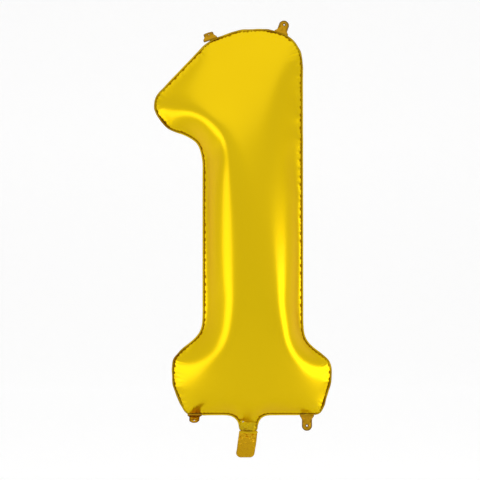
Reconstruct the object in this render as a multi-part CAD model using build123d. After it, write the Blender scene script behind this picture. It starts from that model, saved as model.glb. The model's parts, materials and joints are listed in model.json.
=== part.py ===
from build123d import *
import os
from math import cos, pi, radians, sin, sqrt

# Foil number balloon, figure one. Millimetres, +Z up, front face towards -Y.
# The origin is the middle of the neck's weld bar, where the ribbon is tied.
# Two film panels meet on the plane Y = 0 and are welded round their edge.

# Driving dimensions of the figure
STEM_LEFT = -89.5           # edges of the upright, seam margin included
STEM_RIGHT = 109.0
FLAG_TIP = -185.0           # furthest point of the short flag at the top left
FOOT_LEFT = -150.0
FOOT_RIGHT = 165.5
TOP = 794.0                 # crown of the figure
SEAM_BOTTOM = 34.0          # seam along the underside of the foot
SEAM_MARGIN = 4.0           # flat welded border outside the inflated film
FILM = 0.5                  # stand-in wall, the real film is about 0.04

# Inflated depth: half the thickness front to back, over the upright's middle line
RIDGE = (STEM_LEFT + STEM_RIGHT) / 2
STEM_DEPTH = 96.0
HEAD_DEPTH = 106.0
CROWN_RISE = 112.0          # height over which the crown rounds in to the seam
FOOT_RISE = 78.0            # the same for the foot

# Neck, weld bar, valve and filling tail
NECK_LEFT = -17.0
NECK_RIGHT = 18.5
NECK_MIDDLE = (NECK_LEFT + NECK_RIGHT) / 2
NECK_FLARE = 26.0           # radius that runs the neck into the foot's seam
NECK_MARGIN = 2.0
BAR_HEIGHT = 4.0            # flat weld bar across the neck
BAR_DEPTH = 1.2             # half the bar's stand-in thickness
FUNNEL_TOP = 80.0           # where the puffed neck has merged with the foot
FUNNEL_DEPTH = 17.0
FUNNEL_SPREAD = 14.0        # how much wider the funnel is there, each side
VALVE_WIDTH = 24.0
VALVE_TOP = 92.0
VALVE_FILM = 0.25
VALVE_GAP = 0.05            # half the slit between the two valve films
TAIL_GAP = 1.5              # room below the bar for the tail to fold
TAIL_LENGTH = 49.0
TAIL_WIDTH = 36.5
TAIL_LEAN = -6.0            # sideways shift of the mouth
TAIL_ROOT_DEPTH = 1.0       # half the tail's thickness where it meets the bar
TAIL_PUFF = 5.0             # half its thickness at the open mouth
TAIL_PUFF_LENGTH = 20.0     # length over which it opens
TAIL_MARGIN = 2.0
TAIL_CORNER = 6.0

# Hanging tabs
TAB_WIDTH = 20.0
TAB_LENGTH = 29.0
TAB_HOLE_RADIUS = 1.5
TAB_ROOT_WIDTH = 28.0       # the tab flares where it leaves the seam
TAB_FLARE = 5.0
TAB_GAP = 1.6               # between the seam's edge and the tab's root

# Corners of the figure's outline, clockwise from the neck: x, z and rounding radius
OUTLINE_CORNERS = [
    (NECK_LEFT, 0.0, 0.0),
    (NECK_LEFT, SEAM_BOTTOM, NECK_FLARE),
    (FOOT_LEFT + 31.0, SEAM_BOTTOM, 12.0),
    (FOOT_LEFT, 95.0, 60.0),
    (FOOT_LEFT, 150.5, 43.0),
    (STEM_LEFT, 196.0, 47.0),
    (STEM_LEFT, 576.5, 24.0),
    (FLAG_TIP + 29.0, 593.5, 40.0),
    (FLAG_TIP + 1.0, 629.0, 16.0),
    (FLAG_TIP - 1.5, 658.5, 20.0),
    (STEM_LEFT + 5.5, 772.0, 18.0),
    (4.0, TOP + 7.0, 167.0),
    (STEM_RIGHT - 2.0, 776.5, 62.0),
    (STEM_RIGHT, 180.0, 52.0),
    (FOOT_RIGHT, 142.5, 30.0),
    (FOOT_RIGHT, 103.0, 80.0),
    (FOOT_RIGHT - 21.5, SEAM_BOTTOM, 9.0),
    (NECK_RIGHT, SEAM_BOTTOM, NECK_FLARE),
    (NECK_RIGHT, 0.0, 0.0),
]

# Turn of the film, in degrees of the quarter ellipse, at each section near the seam
RISE_TURNS = [3, 10, 20, 32, 45, 60, 78]
STEM_STATIONS = [150, 180, 215, 280, 360, 440, 520, 560, 585, 610, 635, 660]

# Each tab: the point of the seam's edge it hangs from, the way it points (degrees from
# +X towards +Z) and how far it leans out of the seam's plane (towards +Y is positive)
TABS = {
    "hang_tab_top_left": ((-74.5, 775.1), 108.2, 58.0),
    "hang_tab_top_right": ((65.4, 786.1), 71.0, 25.0),
    "hang_tab_bottom_left": ((-105.0, SEAM_BOTTOM), -90.0, -70.0),
    "hang_tab_bottom_right": ((116.0, SEAM_BOTTOM), -90.0, 0.0),
}


def seam_outline(margin):
    """The figure's outline as a face on the seam plane, drawn in by the margin."""
    corners = [(x, z) for x, z, radius in OUTLINE_CORNERS]
    radii = [radius for x, z, radius in OUTLINE_CORNERS]
    face = make_face(FilletPolyline(*corners, radius=radii, close=True))
    if margin > 0:
        face = offset(face, amount=-margin)
    return Plane.XZ * face


def row_ends(face, height):
    """Left and right end of the outline at one height."""
    reach = 2 * TOP
    level = Edge.make_line((-reach, 0, height), (reach, 0, height))
    box = Compound(children=list(face.intersect(level))).bounding_box()
    return box.min.X, box.max.X


def puffed_row(left, middle, right, depth, height):
    """Points across one section: a quarter ellipse on each side of the ridge."""
    steps = 32
    points = []
    for step in range(steps + 1):
        turn = pi * step / steps
        reach = middle - left if turn < pi / 2 else right - middle
        points.append((middle - reach * cos(turn), -depth * sin(turn), height))
    return points


def half_solid(rows):
    """Solid between a grid of section points, lowest row first, and the seam plane."""
    skin = Face.make_surface_from_array_of_points(rows, tol=0.02, min_deg=3, max_deg=3)
    left, right = skin.edges().sort_by(Axis.X)[0], skin.edges().sort_by(Axis.X)[-1]
    low, high = skin.edges().sort_by(Axis.Z)[0], skin.edges().sort_by(Axis.Z)[-1]
    low_chord = Edge.make_line(rows[0][0], rows[0][-1])
    high_chord = Edge.make_line(rows[-1][0], rows[-1][-1])
    back = Face(Wire([left, low_chord, right, high_chord]))
    caps = [Face(Wire([low, low_chord])), Face(Wire([high, high_chord]))]
    return Solid(Shell([skin, back] + caps))


def half_depth(height, inset):
    """Half the inflated depth at one height: a quarter ellipse at each end of the figure."""
    foot = SEAM_BOTTOM + SEAM_MARGIN + inset
    crown = TOP - SEAM_MARGIN - inset
    share = (height - foot) / (crown - foot)
    full = STEM_DEPTH + (HEAD_DEPTH - STEM_DEPTH) * share ** 2 - inset
    from_crown = min((crown - height) / (CROWN_RISE - inset), 1.0)
    from_foot = min((height - foot) / (FOOT_RISE - inset), 1.0)
    return full * sqrt(1 - (1 - from_crown) ** 2) * sqrt(1 - (1 - from_foot) ** 2)


def dome_stations(inset):
    """Heights of the dome's sections, close together where the film curves in to the seam."""
    foot = SEAM_BOTTOM + SEAM_MARGIN + inset
    crown = TOP - SEAM_MARGIN - inset
    turns = [radians(angle) for angle in RISE_TURNS]
    low = [foot + FOOT_RISE * (1 - cos(turn)) for turn in turns]
    high = [crown - CROWN_RISE * (1 - cos(turn)) for turn in turns]
    return low + STEM_STATIONS + high[::-1]


def dome(inset):
    """Front half of the inflated body as a solid, shrunk by the inset."""
    face = seam_outline(SEAM_MARGIN + inset)
    lowest = SEAM_BOTTOM + 1.5 * SEAM_MARGIN + inset
    rows = []
    for height in dome_stations(inset):
        left, right = row_ends(face, max(height, lowest))
        rows.append(puffed_row(left, RIDGE, right, half_depth(height, inset), height))
    return half_solid(rows)


def funnel(inset):
    """Front half of the puffed neck as a solid, from the weld bar up into the foot."""
    steps = 12
    start = -2 * inset
    half_neck = (NECK_RIGHT - NECK_LEFT) / 2 - NECK_MARGIN
    rows = []
    for step in range(steps + 1):
        height = start + (FUNNEL_TOP - start) * step / steps
        opened = max(height - BAR_HEIGHT, 0) / (FUNNEL_TOP - BAR_HEIGHT)
        depth = BAR_DEPTH + (FUNNEL_DEPTH - BAR_DEPTH) * sin(pi / 2 * opened) ** 0.7 - inset
        reach = half_neck + FUNNEL_SPREAD * opened ** 2 - inset
        row = puffed_row(NECK_MIDDLE - reach, NECK_MIDDLE, NECK_MIDDLE + reach, depth, height)
        rows.append(row)
    return half_solid(rows)


def foil_panel():
    """The front panel: flat seam margin, inflated film and half the neck in one piece."""
    margin_sheet = extrude(seam_outline(0), amount=FILM)
    outside = dome(0) + funnel(0)
    inside = dome(FILM) + funnel(FILM)
    return margin_sheet + outside - inside


def tail_sleeve(inset, overshoot):
    """Front half of the filling tail as a solid, leaning to one side and open at the mouth."""
    steps = 12
    half_width = TAIL_WIDTH / 2 - TAIL_MARGIN - inset
    length = TAIL_LENGTH - TAIL_GAP + overshoot
    rows = []
    for step in range(steps, -1, -1):
        drop = length * step / steps
        opened = min(drop / TAIL_PUFF_LENGTH, 1.0)
        depth = TAIL_ROOT_DEPTH + (TAIL_PUFF - TAIL_ROOT_DEPTH) * sin(pi / 2 * opened) - inset
        middle = NECK_MIDDLE + TAIL_LEAN * (drop / TAIL_LENGTH)
        height = -TAIL_GAP - drop
        rows.append(puffed_row(middle - half_width, middle, middle + half_width, depth, height))
    return half_solid(rows)


def tail_film():
    """The front film of the filling tail, with its welded side margins."""
    half_width = TAIL_WIDTH / 2
    mouth = NECK_MIDDLE + TAIL_LEAN
    corners = [
        (NECK_MIDDLE - half_width, -TAIL_GAP),
        (NECK_MIDDLE + half_width, -TAIL_GAP),
        (mouth + half_width, -TAIL_LENGTH),
        (mouth - half_width, -TAIL_LENGTH),
    ]
    radii = [0, 0, TAIL_CORNER, TAIL_CORNER]
    flat = Plane.XZ * make_face(FilletPolyline(*corners, radius=radii, close=True))
    film = extrude(flat, amount=FILM) + tail_sleeve(0, 0) - tail_sleeve(FILM, 1.0)
    return film & extrude(flat, amount=2 * TAIL_PUFF)


def valve_film():
    """The front film of the self-sealing valve, lying flat inside the neck."""
    length = VALVE_TOP - BAR_HEIGHT
    middle = (NECK_MIDDLE, -VALVE_GAP - VALVE_FILM / 2, BAR_HEIGHT + length / 2)
    return Pos(*middle) * Box(VALVE_WIDTH, VALVE_FILM, length)


def tab_frame(point, direction):
    """Plane of a tab: origin on the seam's edge, x along the crease, y the way it points."""
    turn = radians(direction)
    origin = (point[0], 0, point[1])
    return Plane(origin=origin, x_dir=(sin(turn), 0, -cos(turn)), z_dir=(0, -1, 0))


def tab_crease(point, direction):
    """The line that a tab folds about, in the middle of the gap at its root."""
    frame = tab_frame(point, direction)
    return Axis(frame.from_local_coords((0, TAB_GAP / 2, 0)), frame.x_dir)


def hang_tab(point, direction, lean):
    """Round-ended tab of both films, with a punched hole and a flared root."""
    half = TAB_WIDTH / 2
    root = TAB_ROOT_WIDTH / 2
    shoulder = TAB_GAP + TAB_FLARE
    end = TAB_GAP + TAB_LENGTH
    corners = [(-root, TAB_GAP), (-half, shoulder), (-half, end), (half, end)]
    corners += [(half, shoulder), (root, TAB_GAP)]
    radii = [0, TAB_FLARE, half - 0.1, half - 0.1, TAB_FLARE, 0]
    tongue = make_face(FilletPolyline(*corners, radius=radii, close=True))
    tongue -= Pos(0, end - half) * Circle(TAB_HOLE_RADIUS)
    tab = extrude(tab_frame(point, direction) * tongue, amount=FILM, both=True)
    return tab.rotate(tab_crease(point, direction), -lean)


parts = {}
parts["front_panel"] = foil_panel()
parts["tail_front_film"] = tail_film()
parts["valve_front_film"] = valve_film()
for front in list(parts):
    parts[front.replace("front", "back")] = mirror(parts[front], about=Plane.XZ)
for name, (point, direction, lean) in TABS.items():
    parts[name] = hang_tab(point, direction, lean)

os.makedirs("parts", exist_ok=True)
for name, part in parts.items():
    export_step(part, f"parts/{name}.step")
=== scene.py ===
"""Looks of a gold foil number balloon, figure one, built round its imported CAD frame.

The envelope is made the way the real one is: two flat sheets of film are cut to the same
pattern, welded along their edge and blown up. Blender's Cloth does the blowing up. The
seam is then warped onto the outline of the full balloon, and the taut film's dents eased.
Sizes in the classes are millimetres, in the frame of the CAD model; meshes are in metres.
"""

import json
import logging
import math
from dataclasses import dataclass, field
from enum import Enum

import bpy
import numpy as np
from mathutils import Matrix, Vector
from mathutils.geometry import delaunay_2d_cdt


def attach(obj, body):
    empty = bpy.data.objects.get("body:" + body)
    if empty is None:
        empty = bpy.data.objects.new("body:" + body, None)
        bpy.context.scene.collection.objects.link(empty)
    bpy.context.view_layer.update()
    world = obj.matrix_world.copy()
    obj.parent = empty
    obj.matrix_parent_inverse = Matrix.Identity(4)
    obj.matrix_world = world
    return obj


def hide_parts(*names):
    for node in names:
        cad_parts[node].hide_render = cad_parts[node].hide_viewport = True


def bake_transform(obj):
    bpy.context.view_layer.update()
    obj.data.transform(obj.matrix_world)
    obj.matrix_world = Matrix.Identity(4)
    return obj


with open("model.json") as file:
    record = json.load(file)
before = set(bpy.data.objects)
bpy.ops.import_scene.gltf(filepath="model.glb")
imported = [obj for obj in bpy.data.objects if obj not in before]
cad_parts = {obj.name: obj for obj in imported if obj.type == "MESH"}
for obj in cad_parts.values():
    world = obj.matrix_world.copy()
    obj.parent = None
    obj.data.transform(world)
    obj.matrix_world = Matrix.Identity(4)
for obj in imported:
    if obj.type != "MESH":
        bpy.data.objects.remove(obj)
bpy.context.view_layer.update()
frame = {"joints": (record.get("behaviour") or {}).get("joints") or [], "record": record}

MM = 0.001
SMOOTH_LEVELS = 1
SEED = 11
LOG = logging.getLogger("foil_balloon")


class Side(Enum):
    """Which of two matching films a piece is, as the sign of its Y."""

    FRONT = -1
    BACK = 1


# ---------------------------------------------------------------- shapes worked out with numpy


def smooth_step(value: np.ndarray, low: float, high: float) -> np.ndarray:
    """Rises from 0 at low to 1 at high along 3t^2 - 2t^3.

    Args:
        value: numbers to map.
        low: where the rise starts.
        high: where it ends.

    Returns:
        The share of the rise reached at each value.
    """
    share = np.clip((value - low) / (high - low), 0.0, 1.0)
    return share * share * (3.0 - 2.0 * share)


def unit(vectors: np.ndarray) -> np.ndarray:
    """Vectors along the last axis, made one long."""
    return vectors / np.linalg.norm(vectors, axis=-1, keepdims=True)


def ring_average(values: np.ndarray, reach: int) -> np.ndarray:
    """Mean of each value on a closed ring with its neighbours up to reach away."""
    shifted = [np.roll(values, step, axis=0) for step in range(-reach, reach + 1)]
    return np.mean(shifted, axis=0)


def crumple(across: np.ndarray, along: np.ndarray, pitch: float, seed: int) -> np.ndarray:
    """Creased relief of crushed film, from about -1 to 1.

    Sums seven folded sheets: each is 1 - 2|sin| of a straight wave in its own direction,
    so it has sharp valleys and round tops, as foil has when it is crushed.

    Args:
        across: coordinate across the film.
        along: coordinate along the film.
        pitch: mean distance between creases, in the same unit.
        seed: picks the directions and phases.

    Returns:
        Relief at each point.
    """
    draw = np.random.default_rng(seed)
    relief = np.zeros(np.broadcast(across, along).shape)
    for weight in (1.0, 0.8, 0.7, 0.55, 0.45, 0.35, 0.25):
        turn = draw.uniform(0.0, math.pi)
        phase = draw.uniform(0.0, math.pi)
        rate = math.pi / (pitch * draw.uniform(0.6, 1.6))
        wave = (across * math.cos(turn) + along * math.sin(turn)) * rate + phase
        relief += weight * (1.0 - 2.0 * np.abs(np.sin(wave)))
    return relief / 2.2


@dataclass(frozen=True)
class Outline:
    """A closed outline given by its corners, each (across, up, radius of its round) in mm."""

    corners: tuple[tuple[float, float, float], ...]

    def corner_round(self, place: int, step: float) -> np.ndarray:
        """Points of one corner's arc: tangent to both sides, centred on the bisector.

        Args:
            place: number of the corner.
            step: distance between the arc's points.

        Returns:
            Points, one row each.
        """
        count = len(self.corners)
        before, here, after = (
            np.array(self.corners[(place + shift) % count][:2]) for shift in (-1, 0, 1)
        )
        radius = self.corners[place][2]
        back, ahead = unit(before - here), unit(after - here)
        half = math.acos(float(np.clip(back @ ahead, -1.0, 1.0))) / 2.0
        reach = radius / math.tan(half)
        centre = here + unit(back + ahead) * radius / math.sin(half)
        first, last = here + back * reach - centre, here + ahead * reach - centre
        start = math.atan2(first[1], first[0])
        sweep = (math.atan2(last[1], last[0]) - start + math.pi) % math.tau - math.pi
        steps = 2 * max(1, math.ceil(abs(sweep) * radius / step / 2.0))
        angles = start + sweep * np.linspace(0.0, 1.0, steps + 1)
        return centre + radius * np.column_stack([np.cos(angles), np.sin(angles)])

    def traced(self, step: float) -> tuple[np.ndarray, np.ndarray]:
        """The rounded outline at even steps.

        Args:
            step: distance between points, which is made to divide the length.

        Returns:
            The points, and how far round, from 0 to 1, the middle of each corner is.
        """
        rounds = [self.corner_round(place, step / 4.0) for place in range(len(self.corners))]
        bends = np.vstack(rounds)
        closed = np.vstack([bends, bends[:1]])
        reached = np.concatenate(
            [[0.0], np.cumsum(np.linalg.norm(np.diff(closed, axis=0), axis=1))]
        )
        sizes = np.array([len(arc) for arc in rounds])
        middles = np.cumsum(sizes) - sizes + sizes // 2
        places = np.arange(round(reached[-1] / step)) * reached[-1] / round(reached[-1] / step)
        points = np.column_stack(
            [np.interp(places, reached, closed[:, axis]) for axis in (0, 1)]
        )
        return points, reached[middles] / reached[-1]


def outward_of(ring: np.ndarray) -> np.ndarray:
    """Outward directions of a clockwise ring: its chord over two steps, turned left."""
    chord = np.roll(ring, -1, axis=0) - np.roll(ring, 1, axis=0)
    return unit(np.column_stack([-chord[:, 1], chord[:, 0]]))


def area_within(ring: np.ndarray) -> float:
    """Area inside a closed ring, half the sum of the cross products of its sides."""
    ahead = np.roll(ring, -1, axis=0)
    return abs(float(np.sum(ring[:, 0] * ahead[:, 1] - ring[:, 1] * ahead[:, 0]))) / 2.0


def is_within(points: np.ndarray, ring: np.ndarray) -> np.ndarray:
    """True for points inside the ring: a ray to the right crosses it an odd number of times."""
    ahead = np.roll(ring, -1, axis=0)
    level = points[:, 1:2]
    spans = (ring[:, 1] > level) != (ahead[:, 1] > level)
    rise = np.where(ahead[:, 1] == ring[:, 1], 1.0, ahead[:, 1] - ring[:, 1])
    crossing = ring[:, 0] + (level - ring[:, 1]) * (ahead[:, 0] - ring[:, 0]) / rise
    return np.sum(spans & (points[:, 0:1] < crossing), axis=1) % 2 == 1


def nearest_on(points: np.ndarray, ring: np.ndarray) -> tuple[np.ndarray, np.ndarray]:
    """Number of the nearest ring point, and the distance to it, for each point."""
    gaps = np.linalg.norm(points[:, None, :] - ring[None, :, :], axis=2)
    return np.argmin(gaps, axis=1), np.min(gaps, axis=1)


def thin_plate_moves(places: np.ndarray, anchors: np.ndarray, moves: np.ndarray) -> np.ndarray:
    """Moves that take the anchors their way and bend as little as possible between them.

    A move is a flat tilt plus one term per anchor, r^2 log r, with r the distance to it,
    and the terms' sizes are the ones that give every anchor its own move.

    Args:
        places: (x, z) of the points to move.
        anchors: (x, z) of the anchors.
        moves: the move of each anchor, any number of columns.

    Returns:
        The move of each point.
    """

    def terms(of: np.ndarray) -> np.ndarray:
        """The term of every anchor, r^2 log r, at every point."""
        squared = np.sum((of[:, None, :] - anchors[None, :, :]) ** 2, axis=2)
        return squared * np.log(squared + 1e-9) / 2.0

    def tilt(of: np.ndarray) -> np.ndarray:
        """The flat part: one, x and z at every point."""
        return np.column_stack([np.ones(len(of)), of])

    flat = tilt(anchors)
    system = np.block([[terms(anchors), flat], [flat.T, np.zeros((3, 3))]])
    wanted = np.vstack([moves, np.zeros((3, moves.shape[1]))])
    sizes = np.linalg.solve(system, wanted)
    return np.hstack([terms(places), tilt(places)]) @ sizes


def grid_faces(rows: int, columns: int, round_rows: bool, round_columns: bool) -> np.ndarray:
    """Quads of a grid of points numbered row by row.

    Args:
        rows: number of rows.
        columns: number of points in a row.
        round_rows: the last row joins the first.
        round_columns: each row's last point joins its first.

    Returns:
        Four point numbers for each quad.
    """
    down = np.arange(rows if round_rows else rows - 1)[:, None]
    along = np.arange(columns if round_columns else columns - 1)[None, :]
    below, beside = (down + 1) % rows, (along + 1) % columns
    corners = (
        down * columns + along,
        below * columns + along,
        below * columns + beside,
        down * columns + beside,
    )
    return np.stack(np.broadcast_arrays(*corners), axis=-1).reshape(-1, 4)


def make_piece(name: str, points: np.ndarray, faces: list[np.ndarray]) -> bpy.types.Object:
    """A smooth-shaded mesh object at the origin, from points in mm.

    Args:
        name: name of the piece.
        points: one row of x, y, z each.
        faces: arrays of faces, each with one number of corners.

    Returns:
        The object, linked to the scene.
    """
    mesh = bpy.data.meshes.new(name)
    polygons = [polygon for group in faces for polygon in group.tolist()]
    mesh.from_pydata((points * MM).tolist(), [], polygons)
    mesh.polygons.foreach_set("use_smooth", np.ones(len(polygons), bool))
    mesh.update()
    piece = bpy.data.objects.new(name, mesh)
    bpy.context.scene.collection.objects.link(piece)
    return piece


def store_seam_map(piece: bpy.types.Object, along: np.ndarray, away: np.ndarray) -> None:
    """Gives a piece a UV map of metres along the nearest seam and metres away from it."""
    corners = np.empty(len(piece.data.loops), np.int32)
    piece.data.loops.foreach_get("vertex_index", corners)
    pairs = np.column_stack([along, away])[corners] * MM
    layer = piece.data.uv_layers.new(name="seam_map")
    layer.data.foreach_set("uv", pairs.ravel().astype(np.float32))


def store_shares(piece: bpy.types.Object, **shares: np.ndarray) -> None:
    """Stores one number per point under each name, for a material to read."""
    for name, values in shares.items():
        attribute = piece.data.attributes.new(name, "FLOAT", "POINT")
        attribute.data.foreach_set("value", values.astype(np.float32).ravel())


def add_smoothing(piece: bpy.types.Object) -> None:
    """Finishes a piece with a subdivision surface, the same on screen and in a render."""
    smoothing = piece.modifiers.new("smoothing", "SUBSURF")
    smoothing.levels = SMOOTH_LEVELS
    smoothing.render_levels = SMOOTH_LEVELS


def add_film_thickness(piece: bpy.types.Object, thickness: float) -> None:
    """Gives a film its thickness in mm, half to each side."""
    wall = piece.modifiers.new("film", "SOLIDIFY")
    wall.thickness = thickness * MM
    wall.offset = 0.0


# ---------------------------------------------------------------------------- finishes


class Wire:
    """One value in a material. Arithmetic on it adds Math nodes."""

    def __init__(self, bench: "Bench", socket: bpy.types.NodeSocket) -> None:
        """Keeps the bench that it belongs to and the socket that gives its value."""
        self.bench = bench
        self.socket = socket

    def __add__(self, other: "Wire | float") -> "Wire":
        """Sum."""
        return self.bench.sum_up("ADD", self, other)

    def __sub__(self, other: "Wire | float") -> "Wire":
        """Difference."""
        return self.bench.sum_up("SUBTRACT", self, other)

    def __rsub__(self, other: float) -> "Wire":
        """Difference, number first."""
        return self.bench.sum_up("SUBTRACT", other, self)

    def __mul__(self, other: "Wire | float") -> "Wire":
        """Product."""
        return self.bench.sum_up("MULTIPLY", self, other)

    __radd__ = __add__
    __rmul__ = __mul__


class Bench:
    """Where one material's nodes are made and joined."""

    def __init__(self, name: str) -> None:
        """Starts an empty material of that name."""
        self.material = bpy.data.materials.new(name)
        self.material.use_nodes = True
        self.tree = self.material.node_tree
        self.tree.nodes.clear()

    def node(self, kind: str, settings: dict, inputs: dict, output: str | int = 0) -> Wire:
        """Adds one node.

        Args:
            kind: the node's type.
            settings: its properties, which are set first.
            inputs: a number, tuple or Wire for each named or numbered socket.
            output: the socket that the result reads.

        Returns:
            The chosen output.
        """
        made = self.tree.nodes.new(kind)
        for setting, value in settings.items():
            setattr(made, setting, value)
        for place, value in inputs.items():
            if isinstance(value, Wire):
                self.tree.links.new(value.socket, made.inputs[place])
            else:
                made.inputs[place].default_value = value
        return Wire(self, made.outputs[output] if len(made.outputs) else None)

    def sum_up(self, operation: str, first: Wire | float, second: Wire | float) -> Wire:
        """A Math node of two values."""
        return self.node("ShaderNodeMath", {"operation": operation}, {0: first, 1: second})

    def blended(self, share: Wire, first: Wire | tuple, second: Wire | tuple) -> Wire:
        """A colour that goes from first to second as share goes from 0 to 1."""
        inputs = {0: share, 6: first, 7: second}
        return self.node("ShaderNodeMix", {"data_type": "RGBA"}, inputs, 2)

    def noise(self, place: Wire, scale: float, detail: float, roughness: float = 0.5) -> Wire:
        """Noise from 0 to 1 at a place."""
        inputs = {"Vector": place, "Scale": scale, "Detail": detail, "Roughness": roughness}
        return self.node("ShaderNodeTexNoise", {}, inputs, "Fac")

    def stretched(self, place: Wire, scale: tuple[float, float, float]) -> Wire:
        """A place with each of its coordinates scaled."""
        return self.node("ShaderNodeMapping", {}, {"Vector": place, "Scale": scale})

    def raised(self, height: Wire, depth: float, under: Wire | None = None) -> Wire:
        """A normal bumped by height, which is depth metres deep, over another normal."""
        inputs = {"Strength": 1.0, "Distance": depth, "Height": height}
        if under is not None:
            inputs["Normal"] = under
        return self.node("ShaderNodeBump", {}, inputs)

    def finished(self, shader: Wire) -> bpy.types.Material:
        """Joins the shader to the output and gives the material."""
        self.node("ShaderNodeOutputMaterial", {}, {"Surface": shader})
        return self.material


@dataclass(frozen=True)
class FoilFinish:
    """Metallised film under a clear yellow lacquer, with fine crinkles and pleats."""

    name: str
    colour: tuple[float, float, float] = (0.80, 0.56, 0.002)
    shade: tuple[float, float, float] = (0.76, 0.51, 0.002)
    weld_colour: tuple[float, float, float] = (0.33, 0.2, 0.008)
    roughness: float = 0.3
    edge_tint: tuple[float, float, float] = (0.95, 0.74, 0.08)
    coat: float = 0.08
    coat_roughness: float = 0.12
    pleat_depth: float = 0.5
    pleat_scale: tuple[float, float, float] = (105.0, 9.0, 1.0)
    corner_pleating: float = 2.5
    crinkle_depth: float = 0.05
    crinkle_scale: float = 55.0
    gather_depth: float = 2.2
    gather_scale: tuple[float, float, float] = (150.0, 60.0, 70.0)
    # Strength of the painted shade in the valleys of the neck's folds.
    painted_valley_shade: float = 0.9

    def material(self) -> bpy.types.Material:
        """Builds the material.

        The seam map's u gives pleats that run away from the seam, and the share named
        near_seam fades them out. The share named weld turns the film into the duller
        welded margin. The share named crowding darkens the margin where it cockles, a
        painted shade of its puckers over the weld's own tone, and deepens the pleats there.
        The share named gathered brings the neck's folds, with painted shade in their
        valleys.

        Returns:
            The material.
        """
        bench = Bench(self.name)
        place = bench.node("ShaderNodeTexCoord", {}, {}, "Object")
        seam = bench.node("ShaderNodeUVMap", {"uv_map": "seam_map"}, {})
        weld, crowding, nearness, gathered = (
            bench.node("ShaderNodeAttribute", {"attribute_name": name}, {}, "Fac")
            for name in ("weld", "crowding", "near_seam", "gathered")
        )
        pleat_lines = bench.noise(bench.stretched(seam, self.pleat_scale), 1.0, 1.5)
        crinkles = bench.noise(place, self.crinkle_scale, 3.0, 0.55)
        drift = bench.noise(place, 5.0, 2.0)
        gathers = bench.noise(bench.stretched(place, self.gather_scale), 1.0, 2.0)
        dimples = bench.raised(crinkles, self.crinkle_depth * MM)
        pleated = pleat_lines * nearness * nearness * (1.0 + self.corner_pleating * crowding)
        pleats = bench.raised(pleated, self.pleat_depth * MM, dimples)
        folds = bench.raised(gathers * gathered, self.gather_depth * MM, pleats)
        # Painted shade: the valleys of the neck's folds are darkened towards the weld colour.
        valleys = self.painted_valley_shade * gathered * (1.0 - gathers) * (1.0 - weld)
        # The weld's own darker tone, mottled by drift, plus painted shade of the cockled margin's
        # puckers that grows with crowding, plus the painted shade of the fold valleys.
        darkening = weld * (0.6 * crowding + 0.36 * drift) + valleys
        film = bench.blended(drift, (*self.colour, 1.0), (*self.shade, 1.0))
        shader = bench.node(
            "ShaderNodeBsdfPrincipled",
            {},
            {
                "Base Color": bench.blended(darkening, film, (*self.weld_colour, 1.0)),
                "Metallic": 1.0,
                "Roughness": self.roughness + 0.07 * (drift - 0.5) + 0.14 * weld,
                "Specular Tint": (*self.edge_tint, 1.0),
                "Coat Weight": self.coat,
                "Coat Roughness": self.coat_roughness,
                "Normal": folds,
            },
        )
        return bench.finished(shader)


@dataclass(frozen=True)
class ClearFilmFinish:
    """Thin clear polyethylene with a soft sheen and long stretch marks."""

    name: str
    colour: tuple[float, float, float] = (0.92, 0.94, 0.95)
    opacity: float = 0.35

    def material(self) -> bpy.types.Material:
        """Builds the material, with streaks along Z in its gloss and relief."""
        bench = Bench(self.name)
        place = bench.node("ShaderNodeTexCoord", {}, {}, "Object")
        streaks = bench.noise(bench.stretched(place, (600.0, 600.0, 20.0)), 1.0, 2.0)
        shader = bench.node(
            "ShaderNodeBsdfPrincipled",
            {},
            {
                "Base Color": (*self.colour, 1.0),
                "Roughness": 0.16 + 0.12 * streaks,
                "Alpha": self.opacity + 0.1 * streaks,
                "Normal": bench.raised(streaks, 0.05 * MM),
            },
        )
        return bench.finished(shader)


@dataclass(frozen=True)
class PlainFinish:
    """Matt paper of one colour with a faint mottle, which glows further back."""

    name: str
    colour: tuple[float, float, float] = (0.86, 0.86, 0.86)
    glow: float = 0.21
    glow_from: float = 0.4
    glow_full: float = 1.2

    def material(self) -> bpy.types.Material:
        """Builds the material."""
        bench = Bench(self.name)
        place = bench.node("ShaderNodeTexCoord", {}, {}, "Object")
        mottle = bench.noise(place, 3.0, 2.0)
        depth = bench.node("ShaderNodeSeparateXYZ", {}, {"Vector": place}, "Y")
        lit = bench.node(
            "ShaderNodeMapRange",
            {"clamp": True},
            {"Value": depth, "From Min": self.glow_from, "From Max": self.glow_full},
        )
        shader = bench.node(
            "ShaderNodeBsdfPrincipled",
            {},
            {
                "Base Color": (*self.colour, 1.0),
                "Roughness": 0.85 + 0.1 * mottle,
                "Emission Color": bench.blended(lit, (0.0, 0.0, 0.0, 1.0), (1.0, 1.0, 1.0, 1.0)),
                "Emission Strength": self.glow,
            },
        )
        return bench.finished(shader)


# ---------------------------------------------------------------------------- the balloon


@dataclass(frozen=True)
class Pillow:
    """Two matching flat sheets of film that share the points of their welded edge."""

    points: np.ndarray
    front: np.ndarray
    back: np.ndarray
    seam_count: int

    @property
    def sheet_count(self) -> int:
        """Number of points on one sheet, the seam's included."""
        return (len(self.points) + self.seam_count) // 2

    def sheet_points(self, side: Side) -> np.ndarray:
        """Numbers of one sheet's points, the seam's first."""
        inner = np.arange(self.seam_count, self.sheet_count)
        if side is Side.BACK:
            inner = inner + self.sheet_count - self.seam_count
        return np.concatenate([np.arange(self.seam_count), inner])


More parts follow.
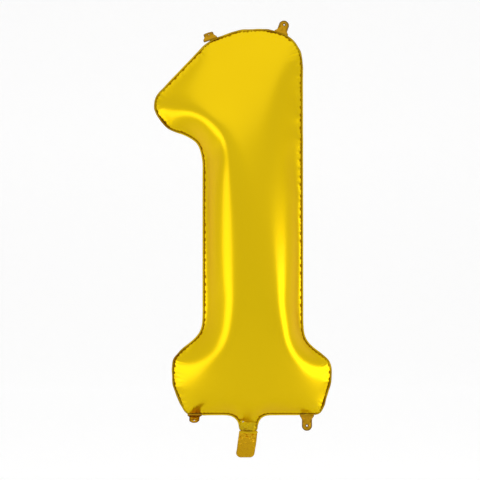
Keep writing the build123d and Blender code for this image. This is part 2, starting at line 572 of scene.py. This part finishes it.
@dataclass(frozen=True)
class FlatPattern:
    """The film as it is cut: an outline filled with even triangles, twice."""

    outline: Outline
    spacing: float
    parting: float = 0.6

    def lattice(self, seam: np.ndarray) -> np.ndarray:
        """Hexagonal lattice points inside the seam and clear of it."""
        low, high = seam.min(axis=0), seam.max(axis=0)
        across = np.arange(low[0], high[0], self.spacing)
        up = np.arange(low[1], high[1], self.spacing * math.sqrt(0.75))
        wide, tall = np.meshgrid(across, up)
        wide = wide + (np.arange(len(up)) % 2)[:, None] * self.spacing / 2.0
        points = np.column_stack([wide.ravel(), tall.ravel()])
        points = points[is_within(points, seam)]
        return points[nearest_on(points, seam)[1] > 0.7 * self.spacing]

    def pillow(self) -> Pillow:
        """Cuts two sheets and lays one on the other, their inner points a hair apart.

        Returns:
            The flat pillow, front at negative Y.
        """
        seam, _ = self.outline.traced(self.spacing)
        count = len(seam)
        flat = np.vstack([seam, self.lattice(seam)])
        edges = [(place, (place + 1) % count) for place in range(count)]
        vertices, _, faces, *_ = delaunay_2d_cdt(
            [Vector(point) for point in flat], edges, [], 1, 1e-6
        )
        flat = np.array([vertex[:] for vertex in vertices])
        triangles = np.array(faces)
        draw = np.random.default_rng(SEED)
        parting = self.parting * draw.uniform(0.7, 1.3, (2, len(flat) - count))
        front = np.column_stack([flat[:, 0], np.zeros(len(flat)), flat[:, 1]])
        back = front[count:].copy()
        front[count:, 1] = -parting[0]
        back[:, 1] = parting[1]
        mates = np.concatenate([np.arange(count), np.arange(len(flat), 2 * len(flat) - count)])
        return Pillow(np.vstack([front, back]), triangles, mates[triangles][:, ::-1], count)


@dataclass(frozen=True)
class Inflation:
    """How the film behaves while gas fills it."""

    frames: int = 36
    quality: int = 5
    pressure: float = 5.0
    stiffness: float = 40.0
    bending: float = 18.0
    damping: float = 5.0
    air_drag: float = 1.5
    sheet_mass: float = 0.1

    def settle(self, pillow: Pillow) -> np.ndarray:
        """Blows the pillow up with Blender's Cloth, without gravity.

        Args:
            pillow: the flat sheets.

        Returns:
            Where every point has settled, in mm.
        """
        balloon = make_piece("film_in_the_press", pillow.points, [pillow.front, pillow.back])
        cloth = balloon.modifiers.new("film", "CLOTH")
        film = cloth.settings
        film.quality = self.quality
        film.mass = self.sheet_mass
        film.air_damping = self.air_drag
        film.tension_stiffness = self.stiffness
        film.compression_stiffness = self.stiffness / 2.0
        film.shear_stiffness = self.stiffness / 2.0
        film.bending_stiffness = self.bending
        film.tension_damping = self.damping
        film.compression_damping = self.damping
        film.shear_damping = self.damping
        film.use_pressure = True
        film.uniform_pressure_force = self.pressure
        film.effector_weights.gravity = 0.0
        cloth.collision_settings.use_collision = False
        cloth.point_cache.frame_start = 1
        cloth.point_cache.frame_end = self.frames
        for step in range(1, self.frames + 1):
            bpy.context.scene.frame_set(step)
        settled = balloon.evaluated_get(bpy.context.evaluated_depsgraph_get()).to_mesh()
        points = np.empty(3 * len(settled.vertices))
        settled.vertices.foreach_get("co", points)
        mesh = balloon.data
        bpy.data.objects.remove(balloon)
        bpy.data.meshes.remove(mesh)
        bpy.context.scene.frame_set(1)
        return points.reshape(-1, 3) / MM


@dataclass
class Envelope:
    """The two gold panels, welded edge to edge, with the crimped bar across the neck."""

    finish: bpy.types.Material
    flat: Outline = Outline(
        (
            (-17, -66, 2), (-17, -24, 22), (-126, -24, 22), (-160, 34, 60), (-166, 92, 60),
            (-140, 150, 60), (-154, 528, 50), (-203, 586, 50), (-216, 634, 30),
            (-210, 665, 30), (-83, 757, 30), (8, 770, 190), (110, 745, 90), (150, 148, 60),
            (182, 94, 45), (181, 54, 80), (155, -22, 20), (18.5, -24, 22), (18.5, -66, 2),
        )
    )
    blown: Outline = Outline(
        (
            (-17, 0, 2), (-17, 34, 22), (-124, 34, 14), (-150, 95, 60), (-150, 150.5, 43),
            (-89.5, 196, 47), (-89.5, 576.5, 54), (-156, 593.5, 40), (-184, 629, 16),
            (-186.5, 658.5, 20), (-79, 770, 20), (4, 803.5, 167), (108.2, 776.5, 62),
            (109, 180, 52), (165.5, 142.5, 30), (165.5, 103, 80), (144, 34, 9),
            (18.5, 34, 22), (18.5, 0, 2),
        )
    )
    spacing: float = 8.0
    margin: float = 3.2
    film_gap: float = 0.12
    anchor_gap: float = 24.0
    pleat_reach: float = 42.0
    funnel: float = 40.0
    easing: int = 9
    fullness: float = 1.06
    dome_reach: float = 150.0
    dome_height: float = 98.0
    bend_reach: int = 3
    bend_gain: float = 9.0
    inflation: Inflation = field(default_factory=Inflation)

    def seam_goal(self, count: int) -> np.ndarray:
        """Where each seam point lies on the blown-up balloon, corner matched to corner.

        The seam is the blown outline drawn in by the margin. Between two corners the points
        are spread in proportion to their length along the flat pattern.

        Args:
            count: number of seam points.

        Returns:
            (x, z) of each.
        """
        _, flat_corners = self.flat.traced(self.spacing)
        edge, blown_corners = self.blown.traced(1.0)
        edge = edge - self.margin * outward_of(edge)
        edge[:, 1] = np.maximum(edge[:, 1], 0.0)
        share = np.arange(count) / count
        turns = np.concatenate([flat_corners - 1.0, flat_corners, flat_corners + 1.0])
        goals = np.concatenate([blown_corners - 1.0, blown_corners, blown_corners + 1.0])
        reached = np.interp(share, turns, goals) % 1.0 * len(edge)
        ring = np.vstack([edge, edge[:1]])
        return np.column_stack(
            [np.interp(reached, np.arange(len(ring)), ring[:, axis]) for axis in (0, 1)]
        )

    def fitted(self, pillow: Pillow, settled: np.ndarray) -> np.ndarray:
        """Brings the settled seam onto the blown outline and keeps every pucker.

        Only the seam's local average is moved, by a thin plate between a few anchors.

        Args:
            pillow: the flat sheets.
            settled: where their points are after the simulation.

        Returns:
            The points in the frame of the CAD model, in mm.
        """
        count = pillow.seam_count
        goal = self.seam_goal(count)
        seam = settled[:count]
        misses = np.column_stack([goal[:, 0], np.zeros(count), goal[:, 1]]) - seam
        reach = max(1, round(self.anchor_gap / self.spacing / 3.0))
        every = max(1, round(self.anchor_gap / self.spacing))
        anchors = ring_average(seam[:, ::2], reach)[::every]
        moves = ring_average(misses, reach)[::every]
        return settled + thin_plate_moves(settled[:, ::2], anchors, moves)

    def eased(self, pillow: Pillow, points: np.ndarray) -> np.ndarray:
        """Rounds off the shallow dents of the taut film and keeps the puckers by the seam.

        Each round moves a point towards the mean of its neighbours, by a share that grows
        from nought at the seam to one well inside it.

        Args:
            pillow: the flat sheets.
            points: where their points are.

        Returns:
            The points, eased.
        """
        count = pillow.seam_count
        points = points.copy()
        points[:count] = ring_average(points[:count], 1)
        faces = np.vstack([pillow.front, pillow.back])
        sides = np.vstack([faces[:, [0, 1]], faces[:, [1, 2]], faces[:, [2, 0]]])
        sides = np.vstack([sides, sides[:, ::-1]])
        mates = np.bincount(sides[:, 0], minlength=len(points))[:, None]
        _, away = nearest_on(pillow.points[:, ::2], pillow.points[:count, ::2])
        share = smooth_step(away, 0.5 * self.spacing, self.pleat_reach)[:, None]
        for _ in range(self.easing):
            total = np.zeros_like(points)
            np.add.at(total, sides[:, 0], points[sides[:, 1]])
            points = points + share * (total / mates - points)
        points[:, 1] *= self.fullness
        return points

    def seam_bend(self, goal: np.ndarray) -> np.ndarray:
        """How sharply the edge turns outward at each seam point, 0 on a straight run to 1."""
        way = outward_of(goal)
        turn = np.cross(np.roll(way, 1, axis=0), np.roll(way, -1, axis=0))
        return np.clip(ring_average(-turn, self.bend_reach) * self.bend_gain, 0.0, 1.0)

    def margin_rows(self, seam: np.ndarray, side: Side) -> np.ndarray:
        """The welded margin outside the seam, as rows of points.

        Each row lies further out along the seam's outward direction. Where the edge turns
        outward the margin is longer than the seam wants, so it cockles: its width and its
        lean out of the plane vary from point to point.

        Args:
            seam: the seam's points.
            side: whose film it is, which sets it a hair to the front or the back.

        Returns:
            Two rows of points, seam order.
        """
        draw = np.random.default_rng(SEED + 1)
        ring = ring_average(seam[:, ::2], 1)
        outward = outward_of(ring)
        bend = self.seam_bend(ring)
        cockle = ring_average(draw.normal(0.0, 1.6, len(seam)), 1)
        ripple = seam[:, 1] - ring_average(seam[:, 1], 3)
        lean = np.clip(0.1 * ripple + 0.75 * bend * cockle, -0.8, 0.8)
        neck = smooth_step(seam[:, 2], 0.5, 5.0)
        width = self.margin * (1.0 + 0.28 * bend * draw.uniform(-1.0, 1.0, len(seam)))
        rows = []
        for share in (0.5, 1.0):
            reach = (width * share)[:, None]
            row = seam.copy()
            row[:, ::2] += outward * reach * np.column_stack([np.ones(len(seam)), neck])
            row[:, 1] += lean * width * share
            row[:, 1] += side.value * self.film_gap / 2.0
            rows.append(row)
        return np.vstack(rows)

    def panel(self, name: str, pillow: Pillow, points: np.ndarray, side: Side) -> bpy.types.Object:
        """One panel: its film, and its half of the welded margin.

        Args:
            name: name of the piece.
            pillow: the flat sheets.
            points: where every point of the pillow is now.
            side: front or back.

        Returns:
            The panel.
        """
        count = pillow.seam_count
        own = pillow.sheet_points(side)
        film = points[own]
        triangles = pillow.front if side is Side.FRONT else pillow.front[:, ::-1]
        strip = grid_faces(3, count, False, True)
        strip = np.where(strip >= count, strip - count + len(film), strip)
        if side is Side.BACK:
            strip = strip[:, ::-1]
        film[:count, 1] += side.value * self.film_gap / 2.0
        everything = np.vstack([film, self.margin_rows(film[:count], side)])
        piece = make_piece(name, everything, [triangles, strip])
        flat = pillow.points[own][:, ::2]
        nearest, away = nearest_on(flat, flat[:count])
        margin_along = np.tile(np.arange(count), 2) * self.spacing
        margin_away = -np.repeat([0.5, 1.0], count) * self.margin
        point_seam = np.concatenate([nearest, np.tile(np.arange(count), 2)])
        along = np.concatenate([nearest * self.spacing, margin_along])
        distance = np.concatenate([away, margin_away])
        store_seam_map(piece, along, distance)
        store_shares(
            piece,
            near_seam=1.0 - smooth_step(distance, 0.0, self.pleat_reach),
            weld=1.0 - smooth_step(distance, -1.5, 0.2),
            crowding=self.seam_bend(film[:count, ::2])[point_seam],
            gathered=1.0 - smooth_step(everything[:, 2], 6.0, self.funnel),
        )
        add_smoothing(piece)
        return piece

    def weld_bar(self) -> bpy.types.Object:
        """The crimped weld across the neck, where the tail is folded off.

        A flat oval section carried across the neck, with a fine ribbing of its height and a
        slow wave along its length. Its two ends close to a point.

        Returns:
            The bar.
        """
        half_width, half_height, half_depth = 18.9, 2.1, 0.75
        sections, around = 61, 20
        across = np.linspace(-1.0, 1.0, sections)[:, None]
        turn = np.linspace(0.0, math.tau, around, endpoint=False)[None, :]
        taper = np.sqrt(np.clip(1.0 - across**12, 0.0, 1.0))
        rib = 1.0 + 0.18 * np.sin(across * 70.0)
        wave = 0.35 * np.sin(across * 7.0 + 0.6)
        x = 0.75 + half_width * across + 0.0 * turn
        y = half_depth * taper * rib * np.cos(turn) + wave
        z = half_height * taper * np.sin(turn) + 0.4 * wave
        points = np.stack([x, y, z], axis=-1).reshape(-1, 3)
        ends = np.array([np.arange(around), np.arange(around)[::-1] + (sections - 1) * around])
        piece = make_piece(
            "neck_weld_bar", points, [grid_faces(sections, around, False, True)[:, ::-1], ends]
        )
        store_seam_map(piece, points[:, 0], np.zeros(len(points)))
        even = np.ones(len(points))
        store_shares(piece, weld=0.5 * even, crowding=0.6 * even)
        return piece

    def build(self) -> list[bpy.types.Object]:
        """Blows up the film, cuts it into its two panels and adds the weld bar.

        Returns:
            The pieces.
        """
        pillow = FlatPattern(self.flat, self.spacing).pillow()
        settled = self.inflation.settle(pillow)
        points = self.eased(pillow, self.fitted(pillow, settled))
        seam, _ = self.flat.traced(self.spacing)
        low, high = (seam.min(axis=0) - self.margin), (seam.max(axis=0) + self.margin)
        area = area_within(seam) + len(seam) * self.spacing * self.margin
        pieces = []
        for side, node in ((Side.FRONT, "front_panel"), (Side.BACK, "back_panel")):
            piece = self.panel(f"{node}_foil", pillow, points, side)
            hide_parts(node)
            tuple((high - low) * MM)
            area * MM * MM
            pieces.append(piece)
        pieces.append(self.weld_bar())
        for piece in pieces:
            piece.data.materials.append(self.finish)
            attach(piece, "envelope")
        return pieces


@dataclass
class HangTab:
    """One welded tab with a punched hole, which folds at the crease where it leaves the seam."""

    node: str
    body: str
    finish: bpy.types.Material
    curl: float = 0.0
    seed: int = 0
    half_width: float = 10.0
    root_half: float = 14.0
    length: float = 29.8
    flare: float = 6.0
    hole_radius: float = 1.5
    rim: float = 3.0
    puff: float = 1.9
    film: float = 0.22
    bend_radius: float = 1.2
    blend_reach: float = 1.5
    rings: int = 15

    def placing(self) -> dict[str, np.ndarray]:
        """Crease, axis and direction of the tab, read from its joint and its hole's mount.

        Returns:
            The crease's middle, the axis along it, the tab's direction and the direction
            that it would have if it lay in the plane of the seam, with their normals.
        """
        joint = next(j for j in frame["joints"] if j["child"] == self.body)
        hole = self.node.replace("hang_tab", "tab_hole")
        mount = next(m for m in frame["record"]["mounts"] if m["name"] == hole)
        crease, axis = np.array(joint["pos_m"]) / MM, unit(np.array(joint["axis"], float))
        leaning = unit(np.array(mount["pos_m"]) / MM - crease)
        level = np.cross(axis, [0.0, 1.0, 0.0])
        level = level * np.sign(level @ leaning)
        return {
            "crease": crease,
            "axis": axis,
            "leaning": leaning,
            "level": level,
            "leaning_normal": np.cross(axis, leaning),
            "level_normal": np.cross(axis, level),
            "hole": np.linalg.norm(np.array(mount["pos_m"]) / MM - crease),
        }

    def outline(self) -> np.ndarray:
        """The tab laid flat: flared root, straight sides, round end."""
        root_line = -4.4
        shoulder = 0.8 + self.flare
        end_round = self.half_width - 0.05
        corners = (
            (-self.root_half, root_line, 0.5),
            (-self.root_half, 0.8, 1.5),
            (-self.half_width, shoulder, self.flare),
            (-self.half_width, self.length, end_round),
            (self.half_width, self.length, end_round),
            (self.half_width, shoulder, self.flare),
            (self.root_half, 0.8, 1.5),
            (self.root_half, root_line, 0.5),
        )
        return Outline(corners).traced(1.0)[0]

    def build(self) -> bpy.types.Object:
        """Makes the tab as a closed ring of rings, from its hole out to its edge and back.

        A point is the hole's edge and the outline mixed by a share. The films part in a
        low puff between the rim and the hole, and lie together at the rim, the hole and
        the root. At the crease the tab turns from the seam's plane to its own lean along a
        hyperbola, (v + sqrt(v^2 + w^2)) / 2.

        Returns:
            The tab.
        """
        place = self.placing()
        edge = self.outline()
        centre = np.array([0.0, place["hole"]])
        spokes = unit(edge - centre)
        hole_edge = centre + spokes * self.hole_radius
        outwards = np.linspace(0.0, 1.0, self.rings)
        shares = np.concatenate([outwards, outwards[::-1]])
        signs = np.repeat([1.0, -1.0], self.rings)[:, None]
        share = shares[:, None, None]
        flat = hole_edge * (1.0 - share) + edge * share
        x, v = flat[..., 0], flat[..., 1]
        from_hole = np.linalg.norm(flat - centre, axis=-1) - self.hole_radius
        from_edge = np.linalg.norm(edge - flat, axis=-1)
        swell = smooth_step(from_edge, self.rim * 0.5, self.rim * 2.2)
        swell = swell * smooth_step(from_hole, 0.5, 3.0) * smooth_step(v, 2.0, 8.0)
        creased = crumple(x, v, 6.0, SEED + self.seed)
        height = signs * (self.film + self.puff * swell * (1.0 + 0.25 * creased))
        height = height + 0.35 * creased * smooth_step(v, 1.0, 6.0)
        height = height + self.curl * (x / self.half_width) ** 2 * smooth_step(v, 0.0, 9.0)
        past = (v + np.sqrt(v * v + self.bend_radius**2)) / 2.0
        turned = (1.0 + v / np.sqrt(v * v + self.bend_radius**2)) / 2.0
        normal = unit(
            place["level_normal"] * (1.0 - turned[..., None])
            + place["leaning_normal"] * turned[..., None]
        )
        points = (
            place["crease"]
            + place["axis"] * x[..., None]
            + place["level"] * (v - past)[..., None]
            + place["leaning"] * past[..., None]
            + normal * height[..., None]
        ).reshape(-1, 3)
        faces = grid_faces(len(shares), len(edge), True, True)
        piece = make_piece(f"{self.node}_foil", points, [faces])
        around = np.broadcast_to(np.arange(len(edge)), x.shape).ravel()
        near_rim = 1.0 - smooth_step(np.minimum(from_edge, from_hole), 0.6, self.rim)
        store_seam_map(piece, around * 1.0, from_edge.ravel())
        near_edge = 1.0 - smooth_step(from_edge, 1.0, 9.0)
        store_shares(piece, near_seam=near_edge, weld=near_rim, crowding=np.ones(x.size))
        add_smoothing(piece)
        piece.data.materials.append(self.finish)
        start = place["crease"] - place["level"] * self.blend_reach
        end = place["crease"] + place["leaning"] * self.blend_reach
        tuple(start * MM)
        tuple(end * MM)
        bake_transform(piece)
        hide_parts(self.node)
        return piece


@dataclass
class FillingTail:
    """The loose sleeve below the neck's weld, open at its mouth for the filling nozzle."""

    finish: bpy.types.Material
    half_width: float = 18.25
    neck_half: float = 17.75
    middle: float = 0.75
    lean: float = -6.0
    length: float = 48.6
    corner: float = 9.0
    rim: float = 2.0
    puff: float = 4.2
    crush: float = 2.0
    thickness: float = 0.12
    tuck: float = 3.6
    across_count: int = 61
    down_count: int = 73

    def film(self, side: Side) -> bpy.types.Object:
        """One film of the sleeve, as a surface of two shares, across and down.

        Down, the film leans to one side and its side edges waver. Across, both films part
        in a flat arch inside their welded rims. Their crushed creases are deepest under
        the weld and are shared, so that the films lie in each other. The bottom edge rises
        in a quarter round at each corner. The top edge is tucked up behind the neck.

        Args:
            side: front or back.

        Returns:
            The film.
        """
        across = np.linspace(-1.0, 1.0, self.across_count)[None, :]
        down = np.linspace(0.0, 1.0, self.down_count)[:, None]
        half = self.neck_half + (self.half_width - self.neck_half) * smooth_step(down, 0.0, 0.15)
        half = half - 0.7 * np.sin(down * 9.0 + 0.8) * down * (1.0 - down)
        outside = np.clip(np.abs(across) * self.half_width - self.half_width + self.corner, 0, None)
        rise = self.corner - np.sqrt(np.clip(self.corner**2 - outside**2, 0.0, None))
        z = self.tuck * (1.0 - down) - down * (self.length - rise * down**2)
        x = self.middle + self.lean * down + across * half
        inset = (1.0 - np.abs(across)) * half
        parted = smooth_step(inset, self.rim * 0.6, self.rim * 5.0)
        creased = crumple(x, z * 0.8, 13.0, SEED + 5)
        fine = crumple(x, z * 0.7, 6.5, SEED + 6)
        crushed = smooth_step(down, 0.07, 0.14) * (1.0 - 0.55 * smooth_step(down, 0.25, 0.8))
        crushed = crushed * (0.35 + 0.65 * smooth_step(inset, 0.0, 3.0))
        opened = self.puff * smooth_step(down, 0.05, 0.45) * (1.0 - 0.45 * down)
        y = side.value * (self.thickness + opened * parted * (0.8 + 0.2 * creased))
        y = y + self.crush * crushed * creased + 0.4 * crushed * fine
        points = np.stack([x, y, z], axis=-1).reshape(-1, 3)
        faces = grid_faces(self.down_count, self.across_count, False, False)
        if side is Side.BACK:
            faces = faces[:, ::-1]
        piece = make_piece(f"tail_{side.name.lower()}_foil", points, [faces])
        store_seam_map(piece, z.ravel(), inset.ravel())
        from_edge = np.minimum(inset, self.length * (1.0 - down) + 0.8)
        store_shares(
            piece,
            near_seam=1.0 - smooth_step(inset, 1.0, 12.0),
            crowding=np.full(x.size, 0.7),
            weld=0.75 * (1.0 - smooth_step(from_edge, 0.5, self.rim)),
        )
        add_film_thickness(piece, self.thickness)
        return piece

    def build(self) -> list[bpy.types.Object]:
        """Makes both films in place below the weld, instead of the CAD model's films."""
        pieces = []
        for side in Side:
            piece = self.film(side)
            node = f"tail_{side.name.lower()}_film"
            piece.data.materials.append(self.finish)
            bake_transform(piece)
            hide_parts(node)
            2 * self.half_width * MM
            pieces.append(piece)
        return pieces


@dataclass
class Valve:
    """The self-sealing valve: two clear films inside the neck that gas pressure shuts."""

    finish: bpy.types.Material
    half_width: float = 12.0
    foot: float = 4.0
    top: float = 92.0
    middle: float = 0.75
    thickness: float = 0.1
    film_gap: float = 0.1
    bow: float = 0.12
    across_count: int = 13
    up_count: int = 45

    def film(self, side: Side) -> bpy.types.Object:
        """One film, a strip that bows away from its mate by the sine of its height."""
        across = np.linspace(-1.0, 1.0, self.across_count)[None, :]
        up = np.linspace(0.0, 1.0, self.up_count)[:, None]
        x = self.middle + across * self.half_width + 0.0 * up
        z = self.foot + (self.top - self.foot) * up + 0.0 * across
        y = side.value * (self.film_gap + self.bow * np.sin(math.pi * up) + 0.0 * across)
        points = np.stack([x, y, z], axis=-1).reshape(-1, 3)
        faces = grid_faces(self.up_count, self.across_count, False, False)
        if side is Side.FRONT:
            faces = faces[:, ::-1]
        piece = make_piece(f"valve_{side.name.lower()}_clear", points, [faces])
        add_film_thickness(piece, self.thickness)
        return piece

    def build(self) -> list[bpy.types.Object]:
        """Makes both films, each swinging with its own flap."""
        pieces = []
        for side in Side:
            word = side.name.lower()
            piece = self.film(side)
            piece.data.materials.append(self.finish)
            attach(piece, f"valve_{word}")
            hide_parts(f"valve_{word}_film")
            2 * self.half_width * MM
            (self.top - self.foot) * MM
            pieces.append(piece)
        return pieces


# ---------------------------------------------------------------------------- the studio


@dataclass(frozen=True)
class SoftBox:
    """A lamp with a big even front, given by the brightness of that front."""

    name: str
    place: tuple[float, float, float]
    aim: tuple[float, float, float]
    width: float
    height: float
    brightness: float

    def build(self) -> bpy.types.Object:
        """Hangs the lamp, facing its aim; its power is brightness times pi times its area."""
        lamp = bpy.data.lights.new(self.name, "AREA")
        lamp.shape = "RECTANGLE"
        lamp.size = self.width
        lamp.size_y = self.height
        lamp.energy = self.brightness * math.pi * self.width * self.height
        hung = bpy.data.objects.new(self.name, lamp)
        hung.location = self.place
        facing = Vector(self.aim) - Vector(self.place)
        hung.rotation_euler = facing.to_track_quat("-Z", "Y").to_euler()
        bpy.context.scene.collection.objects.link(hung)
        return hung


@dataclass
class Studio:
    """White room, pale floor, soft boxes and a long-lens camera straight in front."""

    floor_level: float = -0.30
    lens: float = 100.0
    sensor: float = 36.0
    view_width: float = 0.9446
    centre: tuple[float, float] = (-0.0157, 0.3789)
    room_light: float = 0.81
    boxes: tuple[SoftBox, ...] = (
        SoftBox("top_box", (0.0, -1.0, 2.3), (0.0, 0.0, 0.6), 4.0, 3.2, 0.33),
        SoftBox("left_box", (-1.45, -0.35, 0.09), (0.0, 0.0, 0.1), 0.9, 0.76, 1.15),
        SoftBox("right_box", (1.42, -0.2, 0.09), (0.0, 0.0, 0.1), 0.9, 0.76, 1.7),
    )

    def floor(self) -> bpy.types.Object:
        """A wide round-cornered sheet that curves up behind, as a paper sweep does.

        The sweep's profile is flat, then a quarter round, then upright; it is carried
        across in X.

        Returns:
            The floor.
        """
        radius, reach, front, height, half_width, columns = 1.2, 3.4, -4.0, 5.0, 6.0, 13
        turn = np.linspace(0.0, math.pi / 2.0, 25)
        y = np.concatenate([[front], reach + radius * np.sin(turn), [reach + radius]])
        z = np.concatenate([[0.0], radius * (1.0 - np.cos(turn)), [height]])
        across = np.linspace(-half_width, half_width, columns)[:, None]
        x = across + 0.0 * y
        points = np.stack(
            [x, np.broadcast_to(y, x.shape), np.broadcast_to(z + self.floor_level, x.shape)],
            axis=-1,
        ).reshape(-1, 3)
        piece = make_piece("floor", points / MM, [grid_faces(columns, len(y), False, False)])
        piece.data.materials.append(PlainFinish("pale_floor").material())
        return piece

    def camera(self) -> bpy.types.Object:
        """Camera level with the middle of the view, as far off as its lens asks."""
        optics = bpy.data.cameras.new("camera")
        optics.lens = self.lens
        optics.sensor_width = self.sensor
        optics.clip_end = 50.0
        standing = bpy.data.objects.new("camera", optics)
        distance = self.view_width * self.lens / self.sensor
        standing.location = (self.centre[0], -distance, self.centre[1])
        standing.rotation_euler = (math.pi / 2.0, 0.0, 0.0)
        bpy.context.scene.collection.objects.link(standing)
        bpy.context.scene.camera = standing
        return standing

    def room(self) -> None:
        """Even white light from all round."""
        world = bpy.data.worlds.new("white_room")
        bpy.context.scene.world = world
        world.use_nodes = True
        background = world.node_tree.nodes["Background"]
        background.inputs["Color"].default_value = (1.0, 1.0, 1.0, 1.0)
        background.inputs["Strength"].default_value = self.room_light

    def build(self) -> None:
        """Sets up the whole studio."""
        self.camera()
        self.room()
        self.floor()
        for box in self.boxes:
            box.build()
        bpy.context.scene.view_settings.view_transform = "Standard"


def main() -> None:
    """Builds the studio and then the balloon, piece by piece."""
    logging.basicConfig(level=logging.INFO, format="%(name)s: %(message)s")
    Studio().build()
    foil = FoilFinish("gold_foil").material()
    tab_foil = FoilFinish(
        "gold_tab",
        colour=(0.58, 0.32, 0.006),
        shade=(0.36, 0.17, 0.005),
        weld_colour=(0.09, 0.052, 0.006),
        roughness=0.28,
        crinkle_depth=0.2,
        crinkle_scale=120.0,
    ).material()
    tail_foil = FoilFinish(
        "gold_tail",
        colour=(0.72, 0.44, 0.005),
        shade=(0.5, 0.25, 0.004),
        weld_colour=(0.2, 0.12, 0.006),
        roughness=0.24,
        crinkle_depth=0.1,
        crinkle_scale=70.0,
    ).material()
    pieces = Envelope(foil).build()
    curls = {"top_left": 1.6, "top_right": -1.8, "bottom_left": 1.2, "bottom_right": 1.4}
    for seed, (corner, curl) in enumerate(curls.items()):
        tab = HangTab(f"hang_tab_{corner}", f"tab_{corner}", tab_foil, curl=curl, seed=20 + seed)
        pieces.append(tab.build())
    pieces += FillingTail(tail_foil).build()
    pieces += Valve(ClearFilmFinish("clear_film").material()).build()
    for piece in pieces:
        LOG.info("%s: %d faces", piece.name, len(piece.data.polygons))


if __name__ == "__main__":
    main()
